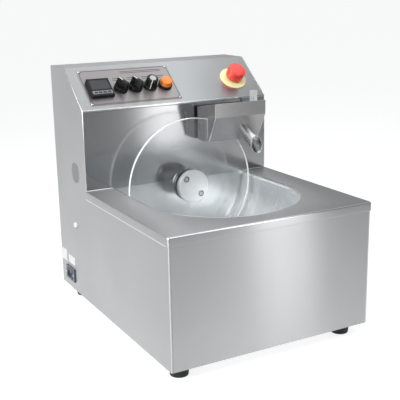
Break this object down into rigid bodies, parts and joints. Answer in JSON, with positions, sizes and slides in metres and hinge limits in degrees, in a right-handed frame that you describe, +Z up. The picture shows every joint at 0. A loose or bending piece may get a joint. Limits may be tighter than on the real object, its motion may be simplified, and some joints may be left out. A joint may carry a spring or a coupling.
{
  "type": "chocolate melting tank",
  "caption": "Table-top chocolate melting tank in brushed stainless steel, with a half-round heated bowl, a turning clear wheel, a lift-off scraper box with a spout and a sloping control panel.",
  "frame": {"origin": "on the floor under the feet, in the middle of the footprint", "axes": "+X to the right seen from the front, +Y to the back, +Z up; the front panel faces -Y"},
  "size_m": [0.437, 0.5468, 0.512],
  "materials": {
    "brushed_steel": "fine brushed stainless sheet",
    "inner_steel": "plain stainless sheet",
    "polished_steel": "polished stainless sheet",
    "screw_steel": "bright screw steel",
    "engraved_steel": "brushed plate with black filled engraving",
    "foot_rubber": "black moulded rubber",
    "heater_silicone": "orange silicone heater mat",
    "sensor_metal": "small pressed metal",
    "cast_metal": "cast and painted metal",
    "bush_bronze": "sintered bronze",
    "gear_steel": "cut steel gear",
    "food_plastic": "white food-safe plastic",
    "terminal_plastic": "ivory terminal plastic",
    "circuit_board": "green board with parts",
    "relay_plastic": "dark relay case on a metal foot",
    "black_plastic": "black moulded plastic",
    "knob_plastic": "black knob plastic with a white pointer",
    "controller_plastic": "dark controller case",
    "controller_glass": "smoked display window",
    "key_plastic": "grey key rubber",
    "lamp_orange": "orange lamp lens",
    "stop_yellow": "yellow ring",
    "stop_red": "red stop head",
    "stem_metal": "turned stem",
    "clear_acrylic": "clear cast acrylic",
    "hub_metal": "turned aluminium",
    "shaft_steel": "ground shaft"
  },
  "bodies": {
    "cabinet": {"left_side_panel": "brushed_steel", "right_side_panel": "brushed_steel", "front_panel": "brushed_steel", "deck_tray": "brushed_steel", "control_fascia": "brushed_steel", "base_plate": "inner_steel", "back_cover": "inner_steel", "hanger_rail": "inner_steel", "motor_standoffs": "inner_steel", "tank_bowl": "polished_steel", "backsplash": "polished_steel", "back_cover_screws": "screw_steel", "foot_screws": "screw_steel", "plate_screws": "screw_steel", "inlet_pins": "screw_steel", "control_plate": "engraved_steel", "rubber_feet": "foot_rubber", "heater_mats": "heater_silicone", "temperature_probe": "sensor_metal", "thermal_cutout": "sensor_metal", "bearing_housing": "cast_metal", "motor_plate": "cast_metal", "gearbox_case": "cast_metal", "drive_motor": "cast_metal", "shaft_bush": "bush_bronze", "shaft_seal": "food_plastic", "side_plug": "food_plastic", "terminal_block": "terminal_plastic", "speed_board": "circuit_board", "heater_relay": "relay_plastic", "mains_inlet": "black_plastic", "heat_switch_body": "black_plastic", "wheel_switch_body": "black_plastic", "lamp_body": "black_plastic", "speed_control_body": "black_plastic", "stop_body": "black_plastic", "stop_contact_block": "black_plastic", "controller_case": "controller_plastic", "controller_window": "controller_glass", "lamp_lens": "lamp_orange", "stop_ring": "stop_yellow"},
    "wheel": {"wheel_disc": "clear_acrylic", "hub_flange": "hub_metal", "hub_cap": "hub_metal", "hub_screws": "screw_steel", "wheel_shaft": "shaft_steel", "output_gear": "gear_steel"},
    "motor_rotor": {"motor_pinion": "gear_steel"},
    "scraper": {"scraper_box": "brushed_steel", "pour_spout": "polished_steel", "scraper_blades": "food_plastic"},
    "heat_switch": {"heat_switch_knob": "knob_plastic"},
    "wheel_switch": {"wheel_switch_knob": "knob_plastic"},
    "speed_control": {"speed_knob": "knob_plastic"},
    "stop_stem": {"stop_plunger": "stem_metal"},
    "stop_button": {"stop_head": "stop_red"},
    "set_key": {"key_set": "key_plastic"},
    "shift_key": {"key_shift": "key_plastic"},
    "down_key": {"key_down": "key_plastic"},
    "up_key": {"key_up": "key_plastic"}
  },
  "joints": [
    {"name": "wheel_spin", "type": "hinge", "parent": "cabinet", "child": "wheel", "pos_m": [0, 0.049, 0.266], "axis": [0, 1, 0], "continuous": true},
    {"name": "motor_spin", "type": "hinge", "parent": "cabinet", "child": "motor_rotor", "pos_m": [0, 0.19, 0.21912], "axis": [0, 1, 0], "continuous": true},
    {"name": "scraper_lift", "type": "slide", "parent": "cabinet", "child": "scraper", "axis": [0, 0, 1], "range_m": [0, 0.15]},
    {"name": "heat_switch_turn", "type": "hinge", "parent": "cabinet", "child": "heat_switch", "pos_m": [-0.1135, 0.13474, 0.46726], "axis": [0, 0.6361, -0.7716], "range_deg": [0, 90]},
    {"name": "wheel_switch_turn", "type": "hinge", "parent": "cabinet", "child": "wheel_switch", "pos_m": [-0.0805, 0.13474, 0.46726], "axis": [0, 0.6361, -0.7716], "range_deg": [0, 90]},
    {"name": "speed_turn", "type": "hinge", "parent": "cabinet", "child": "speed_control", "pos_m": [-0.0465, 0.13474, 0.46726], "axis": [0, 0.6361, -0.7716], "range_deg": [0, 300]},
    {"name": "stop_push", "type": "slide", "parent": "cabinet", "child": "stop_stem", "axis": [0, 0.6361, -0.7716], "range_m": [0, 0.0045], "stiffness_N_per_m": 1200},
    {"name": "stop_twist", "type": "hinge", "parent": "stop_stem", "child": "stop_button", "pos_m": [0.159, 0.13798, 0.46993], "axis": [0, 0.6361, -0.7716], "range_deg": [0, 35], "stiffness_Nm_per_rad": 0.05},
    {"name": "set_key_press", "type": "slide", "parent": "cabinet", "child": "set_key", "axis": [0, 0.6361, -0.7716], "range_m": [0, 0.0008], "stiffness_N_per_m": 300},
    {"name": "shift_key_press", "type": "slide", "parent": "cabinet", "child": "shift_key", "axis": [0, 0.6361, -0.7716], "range_m": [0, 0.0008], "stiffness_N_per_m": 300},
    {"name": "down_key_press", "type": "slide", "parent": "cabinet", "child": "down_key", "axis": [0, 0.6361, -0.7716], "range_m": [0, 0.0008], "stiffness_N_per_m": 300},
    {"name": "up_key_press", "type": "slide", "parent": "cabinet", "child": "up_key", "axis": [0, 0.6361, -0.7716], "range_m": [0, 0.0008], "stiffness_N_per_m": 300}
  ],
  "couplings": [
    {"joint": "motor_spin", "follows": "wheel_spin", "ratio": -4}
  ]
}
